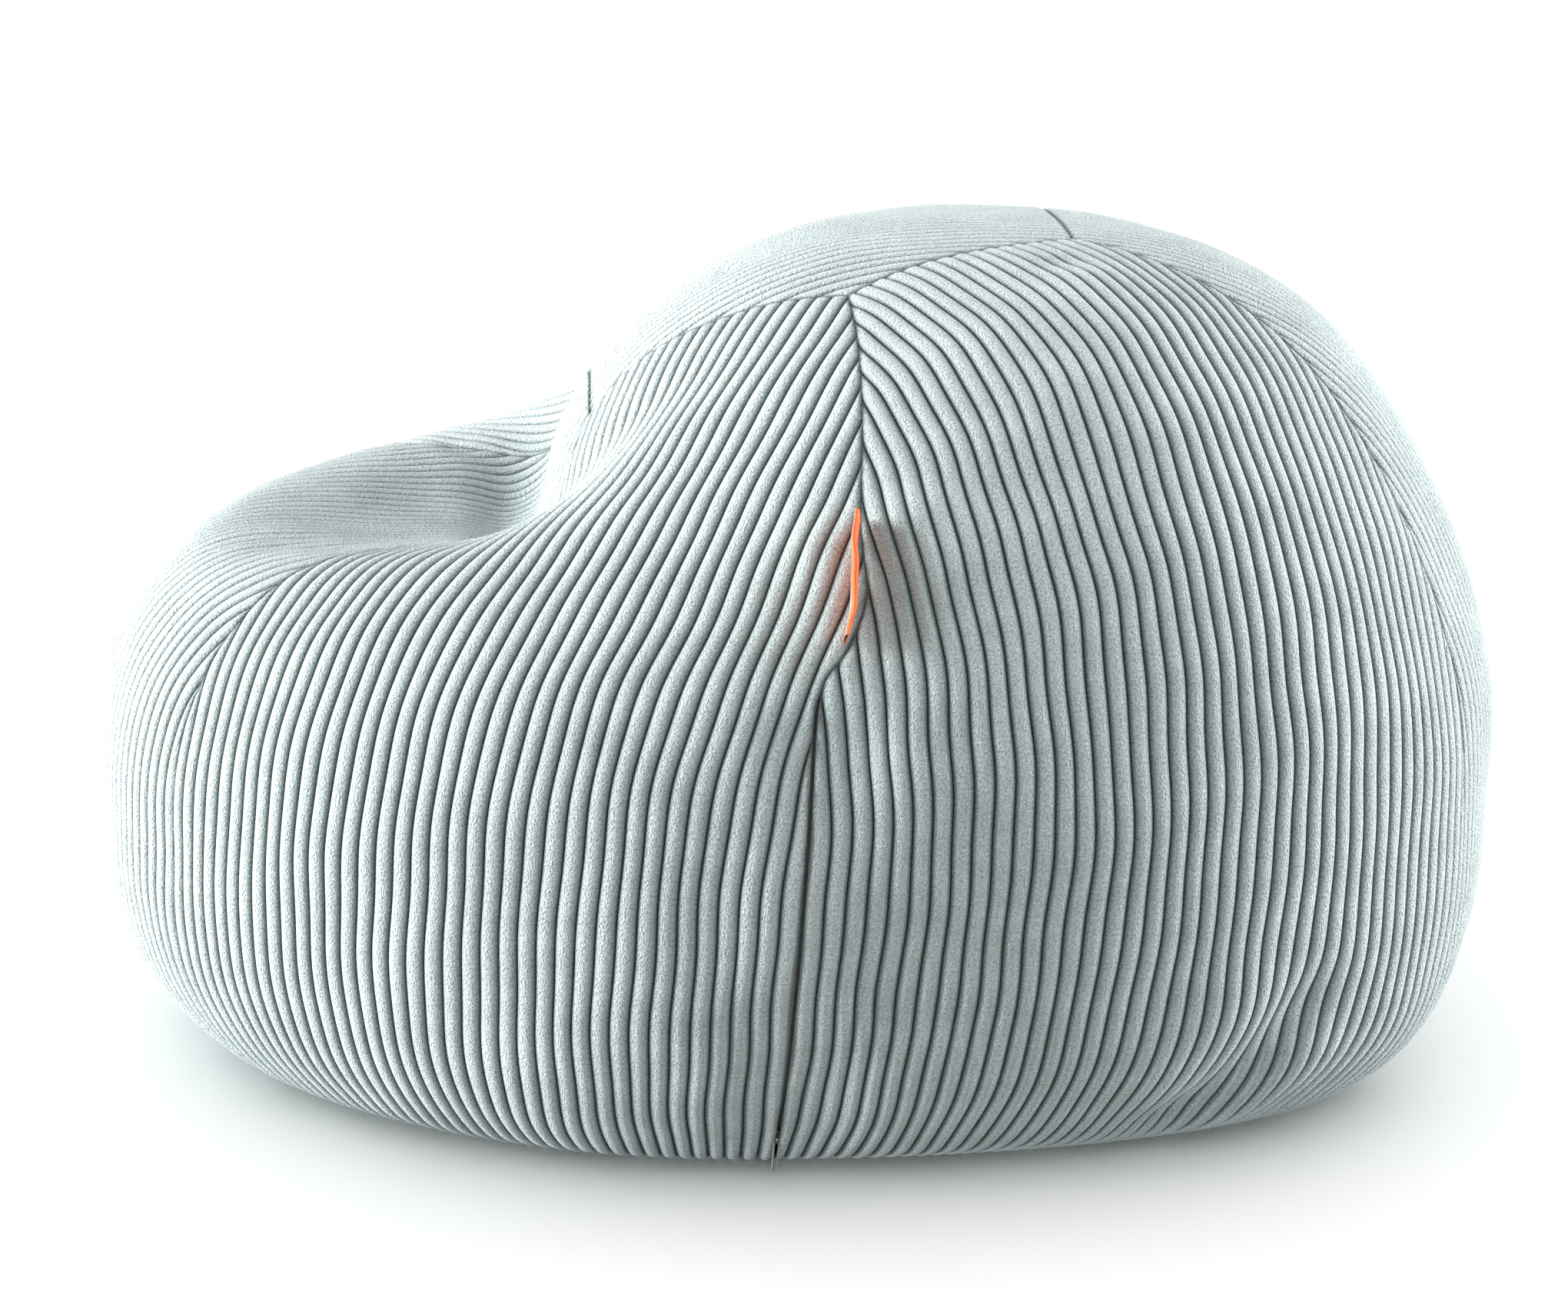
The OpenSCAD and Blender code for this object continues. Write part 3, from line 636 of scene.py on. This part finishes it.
def beads():
    polar, turn = np.linspace(0, 180, 91), np.linspace(0, 360, 145)[:-1]
    q = layer(half_dir(1, polar[1:-1, None], turn[None, :]), BEAD_DEPTH, True, 7.4)
    q = q + unit(q - CORE) * (0.8 * wave(q, 9.0, 2.2) - 0.4)[..., None]
    q[..., 2] = np.maximum(q[..., 2], 7.0)
    poles = [layer(half_dir(1, np.array([a]), np.zeros(1)), BEAD_DEPTH, True, 7.0)
             for a in (0.0, 180.0)]
    n_rings, n_cols = q.shape[:2]
    ids = 1 + np.arange(q.size // 3).reshape(n_rings, n_cols)
    ids = np.concatenate([ids, ids[:, :1]], 1)
    last = q.size // 3 + 1
    faces = grid_faces(ids)[:, ::-1].tolist()
    faces += [[0, int(b), int(a)] for a, b in zip(ids[0], ids[0][1:])]
    faces += [[last, int(a), int(b)] for a, b in zip(ids[-1], ids[-1][1:])]
    return build("bead_fill", np.concatenate([poles[0], q.reshape(-1, 3), poles[1]]), faces)


# ---- zip tapes, coils and label ----


def tape(name, zip_from, zip_to, depth, way, side, node_name):
    """A woven tape with a rounded edge beside its coil and a fine wave in its free edge."""
    angle = np.linspace(zip_from - 1.5, zip_to + 1.5, 160)
    off = np.array([1.25, 2.2, 6.0, 10.0, 13.6, 14.1, 13.6, 10.0, 6.0, 2.2])
    thick = np.array([0.3, 0.0, 0.06, 0.06, 0.1, 0.3, 0.5, 0.54, 0.54, 0.6])
    ripple = 0.05 * np.sin(angle[:, None] * 3) * (off > 9)
    q = arc_point(angle[:, None] + 0 * off, depth + thick + ripple, way * off, side)
    if way * side > 0:
        q = q[:, ::-1]
    obj = build(name, q.reshape(-1, 3), swept(q))
    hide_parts(node_name)
    return obj


def coil(zip_from, zip_to, depth, way, side, start=0):
    """One side of a zip: a wire wound into flat oval turns."""
    pitch, wire, per_turn = 1.5, 0.28, 9
    length = math.radians(zip_to - zip_from) * (ARC_R - depth)
    stations = int(length / pitch) * per_turn
    a = np.linspace(zip_from, zip_to, stations)
    turn = np.arange(stations) * 2 * math.pi / per_turn
    spin = np.linspace(0, 2 * math.pi, 6)[:-1]
    rise = (1.1 - wire) * np.cos(turn)[:, None] + wire * np.cos(turn[:, None]) * np.cos(spin)
    run = (1.3 - wire) * np.sin(turn)[:, None] + wire * np.sin(turn[:, None]) * np.cos(spin)
    twist = np.degrees(wire * np.sin(spin) / (ARC_R - depth))
    q = arc_point(a[:, None] + twist, depth + 1.1 - rise, way * 2.1 + run, side)
    return q.reshape(-1, 3), swept(q, start)


def coils(name, zip_from, zip_to, depth, ways, side, *nodes):
    points, faces = [], []
    for way in ways:
        p, f = coil(zip_from, zip_to, depth, way, side, sum(len(v) for v in points))
        points.append(p)
        faces += f
    obj = build(name, np.concatenate(points), faces)
    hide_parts(*nodes)
    return obj


LABEL_FROM, LABEL_TO = 0.548, 0.682
LABEL_LEN, LABEL_OUT, LABEL_FOLD = 88.0, 22.0, 3.2


def label():
    """A ribbon folded in two and sewn into the seam, with a slight twist along its length."""
    a, b, seam = (gore_point(1, 1, t)
                  for t in (LABEL_FROM, LABEL_TO, (LABEL_FROM + LABEL_TO) / 2))
    up = unit(b - a)
    n = normal(seam)
    out = unit(n - up * (n @ up))
    side = np.cross(up, out)
    mid = (a + b) / 2
    sewn = mid + out * ((seam - mid) @ out + 0.6 + LABEL_FOLD / 2)
    z = np.linspace(-1, 1, 61)[:, None]
    far = LABEL_OUT - LABEL_FOLD
    turn = np.radians(np.linspace(-90, 90, 9))
    run = np.linspace(0, far, 29)
    ribbon, bow = 0.5, 2.3
    path_a = np.concatenate([run, far + bow * np.cos(turn)[1:-1], run[::-1]])
    half = np.concatenate([mix(0.75, bow, run / far), bow * -np.sin(turn)[1:-1]])
    half = np.concatenate([half, -mix(0.75, bow, run[::-1] / far)])
    way = np.stack([np.gradient(path_a), np.gradient(half)], -1)
    way = unit(way)
    inner_a, inner_h = path_a - way[:, 1] * ribbon, half + way[:, 0] * ribbon * -1
    section_a = np.concatenate([path_a, inner_a[::-1]])
    section_h = np.concatenate([half, inner_h[::-1]])
    edge = np.tile(np.exp(-(((path_a - far + 0.9) / 0.9) ** 2)), 2)
    share = np.clip(section_a / LABEL_OUT, 0, 1)
    open_up = mix(0.6, 1.1, np.exp(-((z / 0.6) ** 2)))
    bend = (2.2 - 2.6 * np.sin(1.9 * z - 0.3)) * share**1.5 + 0.5 * np.sin(9 * z) * share**2
    reach_out = section_a * (1 - 0.09 * z**4 * share) + 0.35 * np.sin(13 * z + 1) * share
    root = dragged(sewn + up * (z * LABEL_LEN / 2 + 6))
    q = (root[:, None] + out * reach_out[..., None]
         + side * (section_h * open_up + bend)[..., None])
    obj = build("label_ribbon", q.reshape(-1, 3), swept(q), body=None)
    add_values(obj, edge=np.tile(edge, len(z)))
    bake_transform(obj)
    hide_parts("side_label")
    return obj


# ---- pieces ----

covers = [cover_gore(k) for k in range(6)] + [cover_top(), cover_base()]
liners = [cloth_half("liner_shell_front", -1), cloth_half("liner_shell_rear", 1)]
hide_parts("liner_front")
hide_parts("liner_rear")
bead_fill = beads()
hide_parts("bead_filling")
tapes = [
    tape("tape_front", ZIP_FROM, ZIP_TO, TAPE_DEPTH, 1, 1, "zip_tape_front"),
    tape("tape_rear", ZIP_FROM, ZIP_TO, TAPE_DEPTH, -1, 1, "zip_tape_rear")]
liner_tapes = [
    tape("liner_tape_front", LINER_FROM, LINER_TO, LINER_TAPE_DEPTH, 1, -1,
         "liner_zip_tape_front"),
    tape("liner_tape_rear", LINER_FROM, LINER_TO, LINER_TAPE_DEPTH, -1, -1,
         "liner_zip_tape_rear")]
nylon = [
    coils("coil_front", ZIP_FROM, ZIP_TO, COIL_DEPTH, [1], 1, "zip_coil_front"),
    coils("coil_rear", ZIP_FROM, ZIP_TO, COIL_DEPTH, [-1], 1, "zip_coil_rear"),
    coils("liner_coils", LINER_FROM, LINER_TO, LINER_COIL_DEPTH, [1, -1], -1,
          "liner_zip_coils")]
ribbon = label()

# ---- materials ----


def material(name, rgb, rough=0.8, **sockets):
    m = bpy.data.materials.new(name)
    m.use_nodes = True
    shader = m.node_tree.nodes["Principled BSDF"]
    shader.inputs["Base Color"].default_value = (*rgb, 1)
    shader.inputs["Roughness"].default_value = rough
    for n, v in sockets.items():
        shader.inputs[n.replace("_", " ")].default_value = v
    return m, m.node_tree, shader


def node(tree, kind, **values):
    n = tree.nodes.new("ShaderNode" + kind)
    for key, v in values.items():
        if isinstance(v, bpy.types.NodeSocket):
            tree.links.new(v, n.inputs[key.replace("_", " ")])
        elif hasattr(n, key):
            setattr(n, key, v)
        else:
            n.inputs[key.replace("_", " ")].default_value = v
    return n


def spread(tree, value, low, high, to_low, to_high):
    """A value brought from one range to another, without going beyond it."""
    n = node(tree, "MapRange", Value=value, From_Min=low, From_Max=high,
             To_Min=to_low, To_Max=to_high)
    return n.outputs[0]


def times(tree, a, b):
    n = node(tree, "Math", operation="MULTIPLY")
    tree.links.new(a, n.inputs[0])
    tree.links.new(b, n.inputs[1])
    return n.outputs[0]


def tinted(tree, colour, amount):
    n = node(tree, "VectorMath", operation="SCALE", Scale=amount)
    if isinstance(colour, bpy.types.NodeSocket):
        tree.links.new(colour, n.inputs[0])
    else:
        n.inputs[0].default_value = colour
    return n.outputs[0]


def bumped(tree, shader, height, distance):
    n = node(tree, "Bump", Height=height, Strength=1.0, Distance=distance)
    tree.links.new(n.outputs["Normal"], shader.inputs["Normal"])


def corduroy():
    m, tree, shader = material("corduroy", (0.5, 0.55, 0.55), 0.9,
                               Sheen_Weight=0.12, Sheen_Roughness=0.5)
    values = {n: node(tree, "Attribute", attribute_name=n).outputs["Fac"]
              for n in ("cord", "across", "along")}
    on_cloth = node(tree, "CombineXYZ", X=values["across"], Y=values["along"]).outputs[0]
    where = node(tree, "TexCoord").outputs["Object"]
    stretched = node(tree, "Mapping", Vector=on_cloth, Scale=(0.72, 0.5, 1.0)).outputs[0]
    pile = node(tree, "TexNoise", Vector=stretched, Scale=1.0, Detail=2.5, Roughness=0.6)
    flat = node(tree, "Mapping", Vector=where, Scale=(1.0, 1.0, 2.6)).outputs[0]
    nap = node(tree, "TexNoise", Vector=flat, Scale=16.0, Detail=5.0, Roughness=0.65)
    # Painted shade: the colour ramp darkens the cloth by its rib height (cord), near black in the
    # grooves, dark on the rib flanks and light on the crests, over the real rib relief
    ramp = node(tree, "ValToRGB", Fac=values["cord"])
    stops = ramp.color_ramp.elements
    stops[0].color, stops[1].color = (0.003, 0.007, 0.008, 1), (0.42, 0.486, 0.486, 1)
    stops[1].position = 0.86
    mid = stops.new(0.4)
    mid.color = (0.108, 0.14, 0.142, 1)
    tone = times(tree, spread(tree, pile.outputs["Fac"], 0.3, 0.7, 0.62, 1.24),
                 spread(tree, nap.outputs["Fac"], 0.3, 0.7, 0.88, 1.1))
    tree.links.new(tinted(tree, ramp.outputs["Color"], tone), shader.inputs["Base Color"])
    bumped(tree, shader, pile.outputs["Fac"], 0.003)
    return m


def grained(name, rgb, rough, scale, tone, bump, voronoi=False, **sockets):
    """A plain finish with a fine grain in its colour and its relief."""
    m, tree, shader = material(name, rgb, rough, **sockets)
    where = node(tree, "Mapping", Vector=node(tree, "TexCoord").outputs["Object"],
                 Scale=scale).outputs[0]
    if voronoi:
        grain = node(tree, "TexVoronoi", Vector=where, Scale=1.0).outputs["Distance"]
    else:
        grain = node(tree, "TexNoise", Vector=where, Scale=1.0, Detail=3.0).outputs["Fac"]
    amount = spread(tree, grain, 0.3, 0.7, 1 - tone, 1 + tone)
    tree.links.new(tinted(tree, rgb, amount), shader.inputs["Base Color"])
    bumped(tree, shader, grain, bump)
    return m


def label_cloth():
    m, tree, shader = material("label_ribbon", (0.85, 0.2, 0.02), 0.6, Sheen_Weight=0.1)
    edge = node(tree, "Attribute", attribute_name="edge").outputs["Fac"]
    where = node(tree, "TexCoord").outputs["Object"]
    weave = node(tree, "TexWave", Vector=where, Scale=700.0, Distortion=1.5).outputs["Fac"]
    worn = node(tree, "TexNoise", Vector=where, Scale=240.0, Detail=3.0).outputs["Fac"]
    ramp = node(tree, "ValToRGB", Fac=edge)
    stops = ramp.color_ramp.elements
    stops[0].color, stops[1].color = (0.72, 0.115, 0.012, 1), (0.8, 0.76, 0.7, 1)
    stops[0].position, stops[1].position = 0.45, 0.6
    tone = times(tree, spread(tree, weave, 0, 1, 0.88, 1.06),
                 spread(tree, worn, 0.3, 0.7, 0.9, 1.06))
    tree.links.new(tinted(tree, ramp.outputs["Color"], tone), shader.inputs["Base Color"])
    bumped(tree, shader, weave, 0.0002)
    return m


def wear(mat, *objs):
    for obj in objs:
        obj.data.materials.clear()
        obj.data.materials.append(mat)


nodes = frame["nodes"]
metal = grained("zip_metal", (0.34, 0.35, 0.36), 0.36, (900, 900, 250), 0.12, 0.00008,
                Metallic=1.0)
liner_cloth = grained("liner_cloth", (0.74, 0.74, 0.71), 0.9, (900, 900, 1400), 0.07, 0.0004)
wear(corduroy(), *covers)
wear(liner_cloth, *liners, *liner_tapes)
wear(grained("zip_tape", (0.34, 0.4, 0.39), 0.85, (1500, 1500, 600), 0.14, 0.0003), *tapes)
wear(grained("zip_coil", (0.4, 0.45, 0.44), 0.35, (400, 400, 400), 0.08, 0.00005), *nylon)
wear(grained("eps_beads", (0.86, 0.86, 0.85), 0.55, (260, 260, 260), 0.06, 0.0015,
             voronoi=True), bead_fill)
wear(label_cloth(), ribbon)
wear(metal, *(nodes[n] for n in (
    "zip_bottom_stop", "zip_top_stops", "zip_slider", "zip_pull", "liner_zip_slider")))

# ---- stage, light and camera ----

m, tree, shader = material("floor", (0.93, 0.93, 0.93), 0.9)
bpy.ops.mesh.primitive_plane_add(size=80, location=(0, 0, 0))
floor = bpy.context.object
floor.name = "floor"
wear(m, floor)

# The world is a white backdrop that gives no light: the suns do all the lighting
world = bpy.data.worlds.new("studio")
bpy.context.scene.world = world
world.use_nodes = True
world.node_tree.nodes["Background"].inputs["Color"].default_value = (1.0, 1.0, 1.0, 1)
world.node_tree.nodes["Background"].inputs["Strength"].default_value = 1.0
for way in ("diffuse", "glossy", "transmission", "scatter"):
    setattr(world.cycles_visibility, way, False)


def sun(name, az, el, strength, angle):
    """A broad soft light that shines from an azimuth and an elevation."""
    light = bpy.data.lights.new(name, "SUN")
    light.energy = strength
    light.angle = math.radians(angle)
    obj = bpy.data.objects.new(name, light)
    a, e = math.radians(az), math.radians(el)
    to = Vector((math.sin(a) * math.cos(e), -math.cos(a) * math.cos(e), math.sin(e)))
    obj.rotation_euler = to.to_track_quat("Z", "Y").to_euler()
    bpy.context.scene.collection.objects.link(obj)
    return obj


key = sun("key", 0, 14, 6.8, 32)
front_low = sun("front_low", 345, 2, 7.0, 40)
rim = sun("rim", 192, 12, 8.4, 40)
above = sun("above", 120, 72, 2.3, 120)
bounce_front = sun("bounce_front", 35, -32, 2.3, 90)
bounce_rear = sun("bounce_rear", 152, -28, 1.0, 90)
overhead = sun("overhead", 0, 88, 4.2, 150)
overhead.data.cycles.max_bounces = 0
# The bag and the floor are lit apart, and the floor doesn't shade the low and upward suns
bag_lit = bpy.data.collections.new("bag_lit")
floor_lit = bpy.data.collections.new("floor_lit")
for obj in bpy.context.scene.objects:
    if obj.type == "MESH":
        (floor_lit if obj == floor else bag_lit).objects.link(obj)
for light in (key, front_low, rim, above, bounce_front, bounce_rear):
    light.light_linking.receiver_collection = bag_lit
for light in (front_low, rim, bounce_front, bounce_rear):
    light.light_linking.blocker_collection = bag_lit
overhead.light_linking.receiver_collection = floor_lit

az, el, far = math.radians(87), math.radians(13), 2.8
target = Vector((0, 0.002, 0.274))
back = Vector((math.sin(az) * math.cos(el), -math.cos(az) * math.cos(el), math.sin(el)))
camera = bpy.data.objects.new("camera", bpy.data.cameras.new("camera"))
camera.location = target + back * far
camera.rotation_euler = back.to_track_quat("Z", "Y").to_euler()
camera.data.lens = 85
camera.data.sensor_width = 36
bpy.context.scene.collection.objects.link(camera)
bpy.context.scene.camera = camera
bpy.context.scene.view_settings.view_transform = "Standard"
